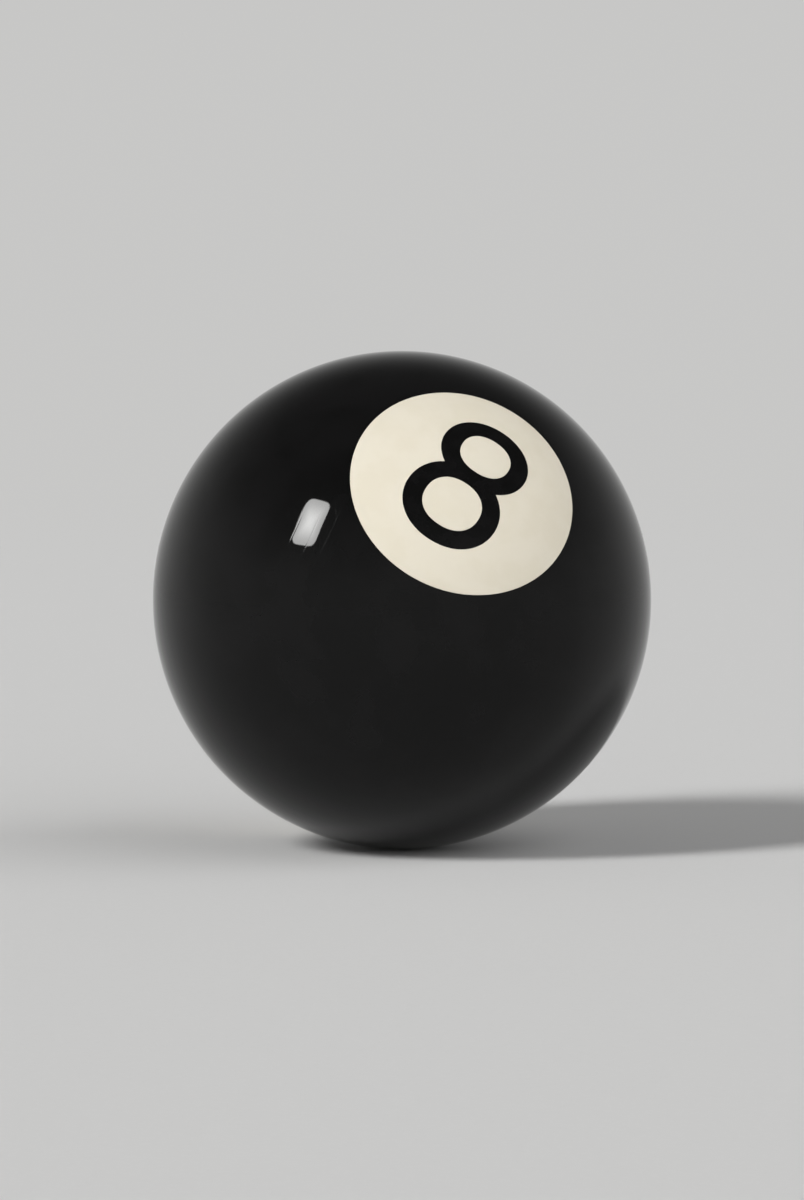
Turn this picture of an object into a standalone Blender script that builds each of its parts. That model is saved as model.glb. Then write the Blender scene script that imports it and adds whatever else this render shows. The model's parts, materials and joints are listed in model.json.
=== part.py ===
"""A numbered pool ball: a solid black resin ball with a number plug set into each of two opposite sides.

Each plug is a slice of a cast rod whose figure 8 runs right through it. So a plug is four separate bodies:
the ivory disc, the black numeral, and the ivory centre of each of the numeral's two loops.
The origin is the ball's centre and +Z is up. The front number faces forwards, turned up and to the right.
"""

import math

import bmesh
import bpy
from mathutils import Matrix, Vector

MM = 0.001

# The ball. Its diameter is the regulation 2 1/4 in.
BALL_RADIUS = 57.15 * MM / 2
DISC_RADIUS = 25.4 * MM / 2
PLUG_DEPTH = 6.35 * MM  # from the ball's surface to the plug's flat back, along the number axis
GAP = 0.3 * MM  # between neighbouring bodies, where the resins bond

# The numeral, centred on the disc. Each Vector holds a width and a height.
NUMERAL_HEIGHT = 16.95 * MM
STROKE = Vector((2.2, 1.95)) * MM  # at the sides of a loop, and at its top and bottom
UPPER_LOOP = Vector((5.9, 5.2)) * MM  # the inside of the stroke
LOWER_LOOP = Vector((6.7, 5.9)) * MM
INSIDE_SQUARENESS = 2.2  # the power of a superellipse: 2 is an ellipse, and more is squarer
OUTSIDE_SQUARENESS = 2.07

# How the ball lies at rest.
NUMBER_SPIN = math.radians(8)  # the numeral is turned clockwise on the number axis
NUMBER_TILT = math.radians(34.5)  # then the front number is tipped to look up by this much
BALL_ROLL = math.radians(27)  # and then the whole ball is rolled clockwise, seen from the front

# Facets and shading.
TURN_STEPS = 72
ARC_STEP = math.radians(5)
OUTLINE_POINTS = 48
MERGE_DISTANCE = 0.001 * MM
SHARP_ANGLE = math.radians(30)

# Materials.
BLACK = (0.0075, 0.0075, 0.0075, 1)
IVORY = (0.768, 0.716, 0.604, 1)
POLISHED = 0.08

PLUG_BACK = BALL_RADIUS - PLUG_DEPTH


def clear_scene():
    for obj in list(bpy.data.objects):
        bpy.data.objects.remove(obj)


def new_collection(name):
    collection = bpy.data.collections.new(name)
    bpy.context.scene.collection.children.link(collection)
    return collection


def resin(name, colour):
    material = bpy.data.materials.new(name)
    material.use_nodes = True
    shader = material.node_tree.nodes["Principled BSDF"]
    shader.inputs["Base Color"].default_value = colour
    shader.inputs["Roughness"].default_value = POLISHED
    shader.inputs["Metallic"].default_value = 0
    return material


def evaluated_mesh(obj):
    """The object's shape with its modifiers applied, or its curve filled, as a new mesh."""
    bpy.context.view_layer.update()
    return bpy.data.meshes.new_from_object(obj.evaluated_get(bpy.context.evaluated_depsgraph_get()))


def empty(name, turn, parent=None):
    obj = bpy.data.objects.new(name, None)
    bpy.context.scene.collection.objects.link(obj)
    obj.matrix_basis = turn
    obj.parent = parent
    return obj


def rest_pose():
    """An empty at the ball's centre. Its -Y points out through the front number as the ball lies."""
    return empty("rest_pose", Matrix.Rotation(BALL_ROLL, 4, "Y") @ Matrix.Rotation(-NUMBER_TILT, 4, "X"))


def number_axis(name, half_turn, pose):
    """An empty whose +Z points out through one of the numbers, with +Y towards the numeral's top."""
    facing_front = Matrix.Rotation(math.radians(90), 4, "X") @ Matrix.Rotation(-NUMBER_SPIN, 4, "Z")
    return empty(name, facing_front @ Matrix.Rotation(half_turn, 4, "Y"), pose)


def surface_arc(first, last):
    """Points along the ball's outline between two angles off the number axis, as (radius, height)."""
    steps = math.ceil((last - first) / ARC_STEP)
    angles = [first + (last - first) * i / steps for i in range(steps + 1)]
    return [(BALL_RADIUS * math.sin(angle), BALL_RADIUS * math.cos(angle)) for angle in angles]


def turned(name, profile):
    """A solid of revolution about Z. The profile's (radius, height) points run down its outer side."""
    mesh = bpy.data.meshes.new(name)
    edges = [(i, i + 1) for i in range(len(profile) - 1)]
    mesh.from_pydata([(radius, 0, height) for radius, height in profile], edges, [])
    obj = bpy.data.objects.new(name, mesh)
    screw = obj.modifiers.new("turn", "SCREW")
    screw.steps = screw.render_steps = TURN_STEPS
    screw.use_merge_vertices = True
    screw.merge_threshold = MERGE_DISTANCE
    return obj


def ball_body():
    """The ball, with a blind round pocket for a plug at each end of the number axis."""
    pocket_radius = DISC_RADIUS + GAP
    floor = PLUG_BACK - GAP
    rim_angle = math.asin(pocket_radius / BALL_RADIUS)
    profile = [(0, floor), (pocket_radius, floor)]
    profile += surface_arc(rim_angle, math.pi - rim_angle)
    profile += [(pocket_radius, -floor), (0, -floor)]
    return turned("ball_body", profile)


def plug_blank(name):
    """A plug before its numeral is let in: flat at the back, and domed in front to match the ball."""
    profile = surface_arc(0, math.asin(DISC_RADIUS / BALL_RADIUS))
    profile += [(DISC_RADIUS, PLUG_BACK), (0, PLUG_BACK)]
    return turned(name, profile)


def superellipse(size, squareness):
    """Points round a rounded outline of this width and height, as Vectors."""
    points = []
    for i in range(OUTLINE_POINTS):
        angle = 2 * math.pi * i / OUTLINE_POINTS
        ray = Vector((math.cos(angle), math.sin(angle)))
        reach = (abs(ray.x) ** squareness + abs(ray.y) ** squareness) ** (-1 / squareness)
        points.append(ray * reach * size / 2)
    return points


def column(name, outline, middle):
    """A column with this outline, moved up the numeral to its middle, that runs right through a plug."""
    curve = bpy.data.curves.new(name, "CURVE")
    curve.dimensions = "2D"
    curve.fill_mode = "BOTH"
    curve.extrude = PLUG_DEPTH
    spline = curve.splines.new("POLY")
    spline.points.add(len(outline) - 1)
    spline.use_cyclic_u = True
    for point, (x, y) in zip(spline.points, outline):
        point.co = (x, y + middle, 0, 1)
    flat = bpy.data.objects.new(name + "_outline", curve)
    bpy.context.scene.collection.objects.link(flat)
    mesh = evaluated_mesh(flat)
    bpy.data.objects.remove(flat)
    weld(mesh)
    mesh.transform(Matrix.Translation((0, 0, BALL_RADIUS - PLUG_DEPTH / 2)))
    return bpy.data.objects.new(name, mesh)


def weld(mesh):
    """Joins a column's caps to its sides."""
    shape = bmesh.new()
    shape.from_mesh(mesh)
    bmesh.ops.remove_doubles(shape, verts=shape.verts, dist=MERGE_DISTANCE)
    bmesh.ops.recalc_face_normals(shape, faces=shape.faces)
    shape.to_mesh(mesh)
    shape.free()


def loop(which):
    """A loop of the numeral, upper or lower: its inside size, and how far up its middle is."""
    side, inside = {"upper": (1, UPPER_LOOP), "lower": (-1, LOWER_LOOP)}[which]
    return inside, side * (NUMERAL_HEIGHT / 2 - STROKE.y - inside.y / 2)


def loop_inside(name, which, shrink=0):
    size, middle = loop(which)
    smaller = size - 2 * Vector((shrink, shrink))
    return column(name, superellipse(smaller, INSIDE_SQUARENESS), middle)


def loop_outside(name, which, grow=0):
    size, middle = loop(which)
    larger = size + 2 * (STROKE + Vector((grow, grow)))
    return column(name, superellipse(larger, OUTSIDE_SQUARENESS), middle)


class Assembly:
    """The ball's collection of parts, and beside it the hidden cutters that shape them."""

    def __init__(self, name):
        self.parts = new_collection(name)
        self.cutters = new_collection(name + "_cutters")

    def cutter(self, obj, parent):
        self.cutters.objects.link(obj)
        obj.parent = parent
        obj.hide_render = True
        obj.display_type = "WIRE"
        return obj

    def boolean(self, obj, operation, other):
        modifier = obj.modifiers.new(other.name, "BOOLEAN")
        modifier.operation = operation
        modifier.object = other
        modifier.solver = "EXACT"

    def part(self, obj, material, parent):
        """Adds a finished part, with its modifiers applied and its round faces shaded smooth."""
        self.parts.objects.link(obj)
        obj.parent = parent
        mesh = evaluated_mesh(obj)
        mesh.name = obj.name
        obj.modifiers.clear()
        obj.data = mesh
        mesh.shade_smooth()
        mesh.set_sharp_from_angle(angle=SHARP_ANGLE)
        mesh.materials.clear()
        mesh.materials.append(material)


def number_disc(ball, end, axis):
    """The ivory disc, with an opening that the numeral and its loops' centres fill."""
    disc = plug_blank("number_disc_" + end)
    for which in ("upper", "lower"):
        opening = loop_outside(f"{which}_opening_{end}", which, grow=GAP)
        ball.boolean(disc, "DIFFERENCE", ball.cutter(opening, axis))
    return disc


def numeral(ball, end, blank, axis):
    """The figure 8: two loops that share a bar at the waist, as deep as the plug and flush in front."""
    figure = loop_outside("numeral_" + end, "upper")
    ball.boolean(figure, "UNION", ball.cutter(loop_outside("lower_loop_" + end, "lower"), axis))
    for which in ("upper", "lower"):
        hole = loop_inside(f"{which}_hole_{end}", which)
        ball.boolean(figure, "DIFFERENCE", ball.cutter(hole, axis))
    ball.boolean(figure, "INTERSECT", blank)
    return figure


def loop_centre(ball, end, which, blank):
    """The ivory column inside one loop of the numeral."""
    centre = loop_inside(f"{which}_loop_centre_{end}", which, shrink=GAP)
    ball.boolean(centre, "INTERSECT", blank)
    return centre


def number_plug(ball, end, axis, numeral_resin, ivory_resin):
    blank = ball.cutter(plug_blank("plug_blank_" + end), axis)
    ball.part(number_disc(ball, end, axis), ivory_resin, axis)
    ball.part(numeral(ball, end, blank, axis), numeral_resin, axis)
    for which in ("upper", "lower"):
        ball.part(loop_centre(ball, end, which, blank), ivory_resin, axis)


def main():
    clear_scene()
    ball = Assembly("numbered_pool_ball")
    numeral_resin = resin("numeral_resin", BLACK)
    ivory_resin = resin("ivory_resin", IVORY)
    pose = rest_pose()
    front = number_axis("front_number_axis", 0, pose)
    back = number_axis("back_number_axis", math.pi, pose)
    ball.part(ball_body(), resin("black_resin", BLACK), front)
    number_plug(ball, "front", front, numeral_resin, ivory_resin)
    number_plug(ball, "back", back, numeral_resin, ivory_resin)


main()
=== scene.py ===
"""The looks of a numbered pool ball: black phenolic resin, ground true and polished, with ivory number plugs.

A fine closed piece of the same shape replaces each CAD node. The CAD has flat facets and a gap between its
bodies. Here the bodies meet in a hairline, as cast resins do, and their faces lie on one true sphere.
A plug is made in its own axes: +Z runs out of the ball through the number, and +Y to the numeral's top.
"""

import json
import math
from dataclasses import dataclass

import bpy
import numpy as np
from mathutils import Matrix, Vector
from mathutils.geometry import delaunay_2d_cdt


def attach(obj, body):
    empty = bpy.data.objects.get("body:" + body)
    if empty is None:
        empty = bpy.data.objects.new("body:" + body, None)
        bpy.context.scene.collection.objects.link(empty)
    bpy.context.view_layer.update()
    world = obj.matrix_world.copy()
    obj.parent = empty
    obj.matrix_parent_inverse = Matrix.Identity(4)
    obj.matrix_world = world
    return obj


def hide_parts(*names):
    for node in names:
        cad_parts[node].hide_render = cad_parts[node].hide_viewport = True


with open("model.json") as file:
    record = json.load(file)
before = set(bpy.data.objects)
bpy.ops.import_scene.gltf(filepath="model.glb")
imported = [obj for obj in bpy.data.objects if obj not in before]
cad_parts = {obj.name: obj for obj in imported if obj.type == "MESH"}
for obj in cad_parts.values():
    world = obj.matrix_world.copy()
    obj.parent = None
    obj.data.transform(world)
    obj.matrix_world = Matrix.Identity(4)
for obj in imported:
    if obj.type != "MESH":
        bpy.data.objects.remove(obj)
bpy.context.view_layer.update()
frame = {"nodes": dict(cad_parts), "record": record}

MM = 0.001

# How the CAD was drawn.
CAD_GAP = 0.3 * MM  # between two bodies
INSIDE_SQUARENESS = 2.2  # the power of a superellipse, which is squarer the higher it is
OUTSIDE_SQUARENESS = 2.07
ROUND = 2  # the power that makes it a plain ellipse

# How it is read back.
FACING_BACK = -0.8  # the cosine past which a face of a plug looks into the ball
NEAR_MIDDLE = 1 * MM  # how far short of a loop's middle its width is still looked for

# How finely the ball is made.
SEAM = 0.02 * MM  # between two bodies
GRID = 0.45 * MM  # the spacing of the points inside a plug's faces
RIM_POINTS = 288
LOOP_POINTS = 200
BELT_RINGS = 100
SHARP_ANGLE = math.radians(12)
ON_BALL = 0.0005 * MM  # how near a point of the ball's surface lies to the true sphere
MERGE_DISTANCE = SEAM / 10
SAME_POINT = 1e-8  # two corners nearer than this, in metres, are one
NO_LENGTH = 1e-9  # stands in for 0 under a division

# The resins, and the colour that each has where it is clouded.
BLACK = (0.004, 0.004, 0.004, 1)
BLACK_CLOUD = (0.0055, 0.0054, 0.0055, 1)
IVORY = (0.775, 0.722, 0.608, 1)
IVORY_CLOUD = (0.755, 0.7, 0.58, 1)
RESINS = {  # by material slot: the two colours and the size of the clouds
    "black_resin": (BLACK, BLACK_CLOUD, 6 * MM),
    "numeral_resin": (BLACK, BLACK_CLOUD, 2 * MM),
    "ivory_resin": (IVORY, IVORY_CLOUD, 4 * MM),
}
CLOUDED = (0.4, 0.62)  # the noise where the clouding starts and where it is whole
CLOUD_DETAIL = 3  # how many finer layers the noise has on top of its first
RESIN_IOR = 1.5
GLOSS = 0.17  # the shader's specular level, which is 0.5 for all that the IOR reflects
POLISH = (0.015, 0.05)  # the roughness of the clearest and of the haziest polish
HAZED = (0.4, 0.7)  # the noise where the polish is clearest and where it is haziest
HAZE_SIZE = 9 * MM
HAZE_DETAIL = 4

# Scratches from play.
SCRATCH_DIRECTIONS = 5
SCRATCH_TURN = Vector((1.3, 2.1, 0.4))  # the rotation from each direction to the next, in radians
SCRATCH_SPACING = 2.5 * MM
SCRATCH_WIDTH = 0.1 * MM  # from its middle to its edge
SCRATCH_LENGTH = 7 * MM
SCRATCH_BEND = 21 * MM  # the length over which it bends
SCRATCHED = (0.52, 0.66)  # the noise where scratches start to show and where they show whole
SCRATCH_REACH = (0.5, 0.8)  # the heights where a direction's scratches start to fade and end, in ball radii
SCRATCH_DEPTH = 0.0014 * MM
SCRATCH_ROUGHNESS = 0.1  # what it adds to the polish's

# The studio.
PALE = (0.757, 0.757, 0.757, 1)
UNLIT = (0, 0, 0, 1)  # the colour of the floor where it only glows
FIBRE_SIZE = 0.6 * MM
FIBRE_DETAIL = 3
FIBRE_SHADE = 0.97  # the fibre's colour against the paper's
PAPER_ROUGHNESS = 0.9
FLOOR_RADIUS = 1.5
FLOOR_FADE = 0.17  # how far out the floor starts to fade into the sky, against its radius
FLOOR_POINTS = 96
SKY = (1, 0.997, 0.985, 1)
HORIZON = 0.575  # the sky's strength at eye level and below, and then overhead
ZENITH = 0.08
SKY_RISE = (0.05, 0.8)  # the sines of the elevations where it starts to darken and where it is darkest
KEY_DIRECTION = Vector((-0.64, -0.53, 0.57)).normalized()  # from the ball to the key softbox
KEY_HALF_SIZE = (0.108, 0.18)  # half its width and half its height, against how far off it is
KEY_STRENGTH = 49
KEY_RIM = 0.55  # how bright it is at its rim, against its middle
KEY_EDGE = 0.94  # where its light starts to stop, against its size
KEY_SQUARENESS = 5
FILL_DIRECTION = (0.8, -0.45, 0.4)
FILL_STRENGTH = 1.3
FILL_WIDTH = math.radians(90)

# The camera.
LENS = 135
BALL_IN_FRAME = 0.62  # the ball's width against the picture's
CAMERA_ELEVATION = math.radians(3)
PICTURE = (804, 1200)

ball_radius = -frame["record"]["mounts"][0]["pos_m"][2]  # the mount is the point it rests on


# ---- The plugs, as the CAD has them


@dataclass
class Outline:
    """A superellipse across the number axis, with its middle somewhere up the numeral."""

    half: np.ndarray
    middle: float
    squareness: float

    def level(self, points):
        """0 at the middle, 1 on the outline and more outside it."""
        share = np.abs(points - (0, self.middle)) / self.half
        return (share**self.squareness).sum(axis=1) ** (1 / self.squareness)

    def holds(self, points):
        return self.level(points) < 1

    def distance(self, points):
        """Roughly how far each point is from the outline, measured along its line to the middle."""
        reach = np.linalg.norm(points - (0, self.middle), axis=1)
        return reach * np.abs(1 - 1 / self.level(points))

    def points(self, count):
        turn = np.linspace(0, 2 * np.pi, count, endpoint=False)
        rays = np.stack([np.cos(turn), np.sin(turn)], axis=1)
        reach = (np.abs(rays) ** self.squareness).sum(axis=1) ** (-1 / self.squareness)
        return rays * reach[:, None] * self.half + (0, self.middle)


@dataclass
class Plug:
    end: str
    axes: Matrix
    back: float  # how far its flat back is from the ball's centre
    rim: Outline
    insides: dict  # inside and outside the stroke of the numeral's upper and lower loops
    outsides: dict


def vertices(node):
    mesh = frame["nodes"][node].data
    points = np.empty(len(mesh.vertices) * 3)
    mesh.vertices.foreach_get("co", points)
    return points.reshape(-1, 3)


def flat_back(node):
    """The middle of the flat back of a plug's body, and the direction square to it and out of the ball."""
    faces = frame["nodes"][node].data.polygons
    out = Vector(vertices(node).mean(axis=0)).normalized()
    flat = [face for face in faces if face.normal.dot(out) < FACING_BACK]
    middle = sum((face.center * face.area for face in flat), Vector()) / sum(face.area for face in flat)
    return middle, -sum((face.normal * face.area for face in flat), Vector()).normalized()


def plug_axes(end):
    _, out = flat_back("number_disc_" + end)
    top, _ = flat_back("upper_loop_centre_" + end)
    bottom, _ = flat_back("lower_loop_centre_" + end)
    right = (top - bottom).cross(out).normalized()
    return Matrix((right, out.cross(right), out)).transposed()


def read_loop(side, centre, numeral):
    """The outlines inside and outside one loop's stroke. side is 1 for the upper loop, -1 for the lower."""
    low, high = centre[:, :2].min(axis=0), centre[:, :2].max(axis=0)
    middle = (low[1] + high[1]) / 2
    inside = Outline((high - low) / 2 + CAD_GAP, middle, INSIDE_SQUARENESS)
    beyond = side * (numeral[:, 1] - middle)
    half = np.array([numeral[beyond > -NEAR_MIDDLE, 0].max(), beyond.max()])
    return inside, Outline(half, middle, OUTSIDE_SQUARENESS)


def read_plug(end):
    axes = plug_axes(end)
    flat = {}
    for part in ("number_disc", "numeral", "upper_loop_centre", "lower_loop_centre"):
        flat[part] = vertices(f"{part}_{end}") @ np.array(axes)
    radius = np.linalg.norm(flat["number_disc"][:, :2], axis=1).max()
    insides, outsides = {}, {}
    for which, side in (("upper", 1), ("lower", -1)):
        centre = flat[which + "_loop_centre"]
        insides[which], outsides[which] = read_loop(side, centre, flat["numeral"])
    rim = Outline(np.array([radius, radius]), 0, ROUND)
    return Plug(end, axes, flat["number_disc"][:, 2].min(), rim, insides, outsides)


# ---- Meshes


def on_ball(flat):
    """Points across a number axis, carried along it to the ball's surface."""
    return np.column_stack([flat, np.sqrt(ball_radius**2 - (flat**2).sum(axis=1))])


def grid_points(reach):
    """The points of a triangular grid over a square of this half width."""
    rows = np.arange(-reach, reach, GRID * math.sqrt(3) / 2)
    columns = np.arange(-reach, reach, GRID)
    x = columns + (np.arange(len(rows)) % 2)[:, None] * GRID / 2
    return np.stack([x.ravel(), np.repeat(rows, len(columns))], axis=1)


def region(outlines, keep):
    """Triangles over the region that keep picks, with corners on the outlines and on a grid between them."""
    corners, edges = [], []
    for outline in outlines:
        count = RIM_POINTS if outline.squareness == ROUND else LOOP_POINTS
        edges += [(len(corners) + i, len(corners) + (i + 1) % count) for i in range(count)]
        corners += outline.points(count).tolist()
    grid = grid_points(2 * max(outline.half.max() for outline in outlines))
    clear = keep(grid)
    for outline in outlines:
        clear &= outline.distance(grid) > GRID / 2
    corners += grid[clear].tolist()
    corners = [Vector(corner) for corner in corners]
    points, _, faces, *_ = delaunay_2d_cdt(corners, edges, [], 0, SAME_POINT)
    points, faces = np.array(points), np.array(faces)
    return points, faces[keep(points[faces].mean(axis=1))]


def border(faces):
    """The edges that only one triangle has, as rows of near and far ends, with the triangle on their left."""
    edges = np.concatenate([faces[:, [0, 1]], faces[:, [1, 2]], faces[:, [2, 0]]]).tolist()
    seen = {tuple(edge) for edge in edges}
    return np.array([(near, far) for near, far in edges if (far, near) not in seen]).T


def outwards(points, near, far):
    """For each point on the border, the direction square to it and out of the region, and 0 elsewhere."""
    along = points[far] - points[near]
    square = np.stack([along[:, 1], -along[:, 0]], axis=1)
    square /= np.linalg.norm(square, axis=1, keepdims=True)
    total = np.zeros_like(points)
    np.add.at(total, near, square)
    np.add.at(total, far, square)
    return total / np.maximum(np.linalg.norm(total, axis=1, keepdims=True), NO_LENGTH)


def plug_mesh(name, plug, outlines, keep):
    """A closed body of the plug: its face on the ball, straight sides and a flat back."""
    flat, faces = region(outlines, keep)
    near, far = border(faces)
    body = flat - outwards(flat, near, far) * SEAM / 2
    points = np.concatenate([on_ball(body), np.column_stack([body, np.full(len(body), plug.back)])])
    deep = len(flat)  # added to a point's number to give the point behind it
    sides = [np.stack([far, near, near + deep], axis=1), np.stack([far, near + deep, far + deep], axis=1)]
    used, faces = np.unique(np.concatenate([faces, faces[:, ::-1] + deep, *sides]), return_inverse=True)
    mesh = bpy.data.meshes.new(name)
    mesh.from_pydata(points[used].tolist(), [], faces.reshape(-1, 3).tolist())
    return mesh


def disc_mesh(name, plug):
    def keep(points):
        numeral = plug.outsides["upper"].holds(points) | plug.outsides["lower"].holds(points)
        return plug.rim.holds(points) & ~numeral

    return plug_mesh(name, plug, [plug.rim, *plug.outsides.values()], keep)


def numeral_mesh(name, plug):
    def keep(points):
        centres = plug.insides["upper"].holds(points) | plug.insides["lower"].holds(points)
        return (plug.outsides["upper"].holds(points) | plug.outsides["lower"].holds(points)) & ~centres

    return plug_mesh(name, plug, [*plug.outsides.values(), *plug.insides.values()], keep)


def body_mesh(name, plug):
    """The ball with its two pockets, turned about the number axis."""
    pocket = plug.rim.half[0] + SEAM / 2
    floor = plug.back - SEAM
    rim = math.asin(pocket / ball_radius)
    belt = [(math.sin(turn), math.cos(turn)) for turn in np.linspace(rim, math.pi - rim, BELT_RINGS)]
    profile = [(0, floor), (pocket, floor)]
    profile += [(ball_radius * radius, ball_radius * height) for radius, height in belt]
    profile += [(pocket, -floor), (0, -floor)]
    line = bpy.data.meshes.new(name + "_profile")
    edges = [(i, i + 1) for i in range(len(profile) - 1)]
    line.from_pydata([(radius, 0, height) for radius, height in profile], edges, [])
    turned = bpy.data.objects.new(name, line)
    bpy.context.scene.collection.objects.link(turned)
    screw = turned.modifiers.new("turn", "SCREW")
    screw.steps = screw.render_steps = RIM_POINTS
    screw.use_merge_vertices = True
    screw.merge_threshold = MERGE_DISTANCE
    bpy.context.view_layer.update()
    mesh = bpy.data.meshes.new_from_object(turned.evaluated_get(bpy.context.evaluated_depsgraph_get()))
    bpy.data.objects.remove(turned)
    mesh.name = name
    return mesh


def polish(mesh):
    """Gives the faces on the ball the normals of a true sphere, and leaves the others' edges crisp."""
    mesh.shade_smooth()
    mesh.set_sharp_from_angle(angle=SHARP_ANGLE)
    points, normals = np.empty(len(mesh.vertices) * 3), np.empty(len(mesh.loops) * 3)
    corners, first = np.empty(len(mesh.loops), int), np.empty(len(mesh.polygons), int)
    mesh.vertices.foreach_get("co", points)
    mesh.corner_normals.foreach_get("vector", normals)
    mesh.loops.foreach_get("vertex_index", corners)
    mesh.polygons.foreach_get("loop_start", first)
    corner_points, normals = points.reshape(-1, 3)[corners], normals.reshape(-1, 3)
    off_ball = np.abs(np.linalg.norm(corner_points, axis=1) - ball_radius)
    face_off_ball = np.maximum.reduceat(off_ball, first)
    domed = np.repeat(face_off_ball < ON_BALL, np.diff(np.append(first, len(corners))))
    normals[domed] = corner_points[domed] / ball_radius
    mesh.normals_split_custom_set(normals.tolist())


# ---- Materials


class Graph:
    """The nodes of a material or of the world."""

    def __init__(self, tree):
        self.tree = tree

    def add(self, kind, inputs, **settings):
        """Adds a node and returns it. inputs has the value or the link for each socket that it names."""
        node = self.tree.nodes.new("ShaderNode" + kind)
        for name, value in settings.items():
            setattr(node, name, value)
        self.set(node, inputs)
        return node

    def set(self, node, inputs):
        for name, value in inputs.items():
            if isinstance(value, bpy.types.NodeSocket):
                self.tree.links.new(value, node.inputs[name])
            else:
                node.inputs[name].default_value = value

    def noise(self, place, size, detail=0):
        """Smooth noise from about 0.3 to 0.7, in spots of this size."""
        return self.add("TexNoise", {"Vector": place, "Scale": 1 / size, "Detail": detail}).outputs["Fac"]

    def ramp(self, value, span, first, last):
        """Goes smoothly from first to last as the value crosses the span, a low and a high."""
        low, high = span
        ends = {"From Min": low, "From Max": high, "To Min": first, "To Max": last}
        node = self.add("MapRange", {"Value": value, **ends}, interpolation_type="SMOOTHSTEP")
        return node.outputs["Result"]

    def math(self, operation, *values):
        return self.add("Math", dict(enumerate(values)), operation=operation).outputs["Value"]

    def mix(self, share, first, last):
        """A colour between two. Numbers pick the node's colour sockets, whose names others share."""
        return self.add("Mix", {0: share, 6: first, 7: last}, data_type="RGBA").outputs[2]


def scratches(graph, place):
    """Fine arcs left by play, 1 on a scratch and 0 beside it. A direction has slices of random thickness."""
    total = 0
    fade = [ball_radius * share for share in SCRATCH_REACH]
    for direction in range(SCRATCH_DIRECTIONS):
        turn = {"Vector": place, "Rotation": SCRATCH_TURN * (direction + 1)}
        turned = graph.add("Mapping", turn).outputs["Vector"]
        height = graph.add("SeparateXYZ", {"Vector": turned}).outputs["Z"]
        bend = graph.ramp(graph.noise(turned, SCRATCH_BEND), (0, 1), 0, SCRATCH_SPACING)
        slices = {"W": graph.math("ADD", height, bend), "Scale": 1 / SCRATCH_SPACING}
        off_line = graph.add("TexVoronoi", slices, voronoi_dimensions="1D").outputs["Distance"]
        line = graph.ramp(off_line, (0, SCRATCH_WIDTH / SCRATCH_SPACING), 1, 0)
        patch = graph.ramp(graph.noise(turned, SCRATCH_LENGTH), SCRATCHED, 0, 1)
        steep = graph.ramp(graph.math("ABSOLUTE", height), fade, 1, 0)
        marks = graph.math("MULTIPLY", line, graph.math("MULTIPLY", patch, steep))
        total = graph.math("ADD", total, marks)
    return graph.math("MINIMUM", total, 1)


def resin(name, colour, cloud, cloud_size):
    """Cast phenolic resin, polished, then handled and played with."""
    material = bpy.data.materials.new(name)
    material.use_nodes = True
    graph = Graph(material.node_tree)
    place = graph.add("TexCoord", {}).outputs["Object"]
    marks = scratches(graph, place)
    cloudy = graph.ramp(graph.noise(place, cloud_size, CLOUD_DETAIL), CLOUDED, 0, 1)
    haze = graph.ramp(graph.noise(place, HAZE_SIZE, HAZE_DETAIL), HAZED, *POLISH)
    depth = graph.add("Bump", {"Strength": 1, "Distance": SCRATCH_DEPTH, "Height": marks}, invert=True)
    look = {
        "Base Color": graph.mix(cloudy, colour, cloud),
        "Roughness": graph.math("ADD", haze, graph.math("MULTIPLY", marks, SCRATCH_ROUGHNESS)),
        "Normal": depth.outputs["Normal"],
        "IOR": RESIN_IOR,
        "Specular IOR Level": GLOSS,
    }
    graph.set(graph.tree.nodes["Principled BSDF"], look)
    return material


def floor_paper():
    """Pale paper with a faint fibre. Far out it turns into the sky's own light, so that no horizon shows."""
    material = bpy.data.materials.new("studio_paper")
    material.use_nodes = True
    graph = Graph(material.node_tree)
    place = graph.add("TexCoord", {}).outputs["Object"]
    fibre = graph.noise(place, FIBRE_SIZE, FIBRE_DETAIL)
    far_out = graph.add("VectorMath", {0: place}, operation="LENGTH").outputs["Value"]
    sky_share = graph.ramp(far_out, (FLOOR_RADIUS * FLOOR_FADE, FLOOR_RADIUS), 0, 1)
    paper = graph.mix(fibre, PALE, [shade * FIBRE_SHADE for shade in PALE[:3]] + [1])
    look = {
        "Base Color": graph.mix(sky_share, paper, UNLIT),
        "Roughness": PAPER_ROUGHNESS,
        "Specular IOR Level": 0,
        "Emission Color": SKY,
        "Emission Strength": graph.math("MULTIPLY", sky_share, HORIZON),
    }
    graph.set(graph.tree.nodes["Principled BSDF"], look)
    return material


# ---- The ball's pieces


slots = {part["node"]: part["material_slot"] for part in frame["record"]["subparts"]}
looks = {slot: resin(slot, *look) for slot, look in RESINS.items()}


def stand_in(node, axes, mesh):
    """Shows this mesh, made in these axes, in place of a CAD node."""
    mesh.transform(axes.to_4x4())
    polish(mesh)
    mesh.materials.append(looks[slots[node]])
    piece = bpy.data.objects.new(mesh.name, mesh)
    bpy.context.scene.collection.objects.link(piece)
    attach(piece, "root")
    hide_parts(node)


front, back = read_plug("front"), read_plug("back")
stand_in("ball_body", front.axes, body_mesh("polished_body", front))
for plug in (front, back):
    stand_in("number_disc_" + plug.end, plug.axes, disc_mesh("ivory_disc_" + plug.end, plug))
    stand_in("numeral_" + plug.end, plug.axes, numeral_mesh("black_eight_" + plug.end, plug))
    for which, inside in plug.insides.items():
        mesh = plug_mesh(f"ivory_{which}_centre_{plug.end}", plug, [inside], inside.holds)
        stand_in(f"{which}_loop_centre_{plug.end}", plug.axes, mesh)


# ---- The studio


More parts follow.
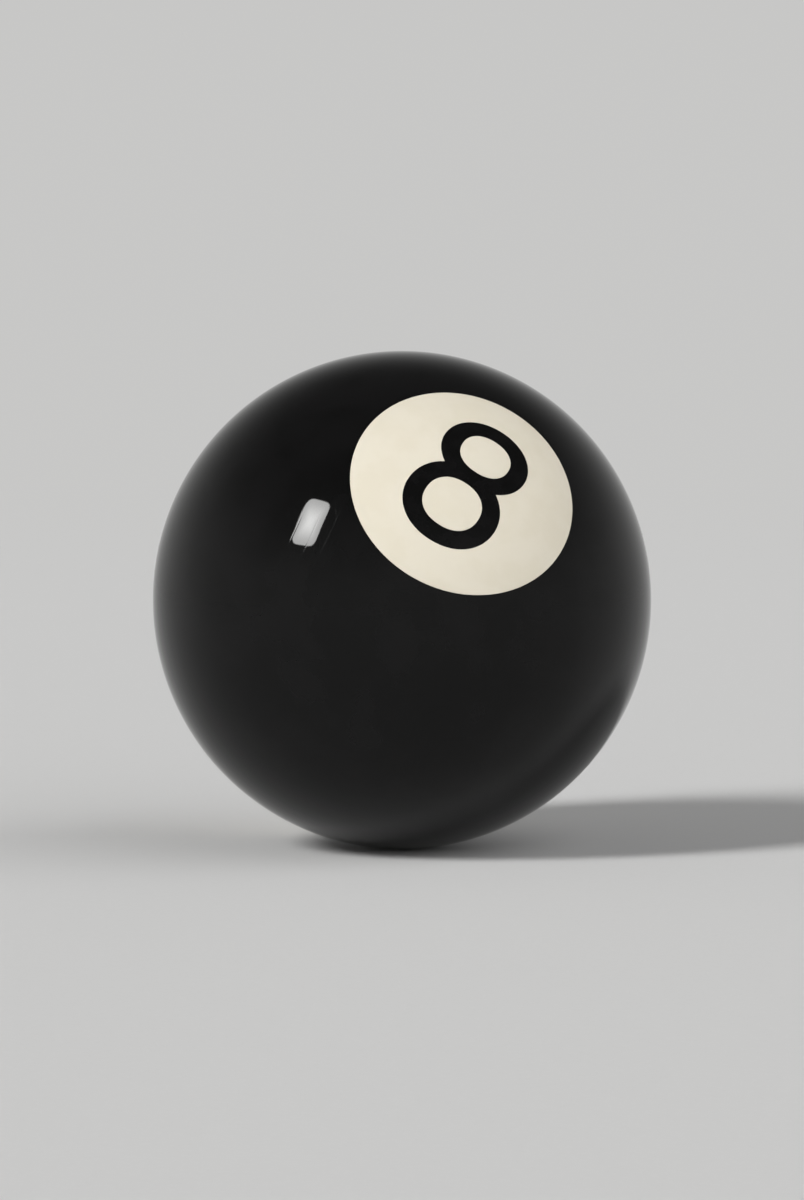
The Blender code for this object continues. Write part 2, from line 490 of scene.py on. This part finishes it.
def floor():
    mesh = bpy.data.meshes.new("studio_floor")
    turn = np.linspace(0, 2 * np.pi, FLOOR_POINTS, endpoint=False)
    edge = np.stack([np.cos(turn), np.sin(turn), 0 * turn], axis=1) * FLOOR_RADIUS - (0, 0, ball_radius)
    mesh.from_pydata(edge.tolist(), [], [range(FLOOR_POINTS)])
    mesh.materials.append(floor_paper())
    obj = bpy.data.objects.new(mesh.name, mesh)
    bpy.context.scene.collection.objects.link(obj)


def key_softbox(graph, towards):
    """An oblong of light a long way off, brightest in its middle."""
    right = KEY_DIRECTION.cross((0, 0, 1)).normalized()
    ahead, across, up = (
        graph.add("VectorMath", {0: towards, 1: axis}, operation="DOT_PRODUCT").outputs["Value"]
        for axis in (KEY_DIRECTION, right, right.cross(KEY_DIRECTION))
    )
    corner = 0
    for offset, half in zip((across, up), KEY_HALF_SIZE):
        share = graph.math("ABSOLUTE", graph.math("DIVIDE", offset, graph.math("MULTIPLY", ahead, half)))
        corner = graph.math("ADD", corner, graph.math("POWER", share, KEY_SQUARENESS))
    level = graph.math("POWER", corner, 1 / KEY_SQUARENESS)
    glow = graph.ramp(level, (0, 1), KEY_STRENGTH, KEY_STRENGTH * KEY_RIM)
    edge = graph.ramp(level, (KEY_EDGE, 1), 1, 0)
    lit = graph.math("MULTIPLY", graph.math("GREATER_THAN", ahead, 0), edge)
    return graph.math("MULTIPLY", lit, glow)


def sky():
    """Pale all round at eye level, as the floor is, and dark overhead, with the key softbox."""
    world = bpy.data.worlds.new("studio")
    bpy.context.scene.world = world
    world.use_nodes = True
    graph = Graph(world.node_tree)
    towards = graph.add("TexCoord", {}).outputs["Generated"]
    height = graph.add("SeparateXYZ", {"Vector": towards}).outputs["Z"]
    ambient = graph.ramp(height, SKY_RISE, HORIZON, ZENITH)
    strength = graph.math("ADD", ambient, key_softbox(graph, towards))
    graph.set(graph.tree.nodes["Background"], {"Color": SKY, "Strength": strength})


def fill():
    """A very wide soft lamp on the side away from the key softbox, kept out of the ball's reflections."""
    light = bpy.data.lights.new("fill", "SUN")
    light.energy = FILL_STRENGTH
    light.angle = FILL_WIDTH
    obj = bpy.data.objects.new("fill", light)
    obj.rotation_euler = Vector(FILL_DIRECTION).to_track_quat("Z", "Y").to_euler()
    obj.visible_glossy = False
    bpy.context.scene.collection.objects.link(obj)


def camera():
    """Looks slightly down at the ball's centre, from where the ball fills its share of the picture."""
    lens = bpy.data.cameras.new("camera")
    lens.lens = LENS
    half_width = lens.sensor_width / 2 / LENS * PICTURE[0] / PICTURE[1]
    distance = ball_radius / math.sin(math.atan(BALL_IN_FRAME * half_width))
    obj = bpy.data.objects.new("camera", lens)
    way_back = Vector((0, -math.cos(CAMERA_ELEVATION), math.sin(CAMERA_ELEVATION)))
    obj.location = way_back * distance
    obj.rotation_euler = way_back.to_track_quat("Z", "Y").to_euler()
    bpy.context.scene.collection.objects.link(obj)
    bpy.context.scene.camera = obj


floor()
sky()
fill()
camera()
bpy.context.scene.view_settings.view_transform = "Standard"

bpy.context.view_layer.update()
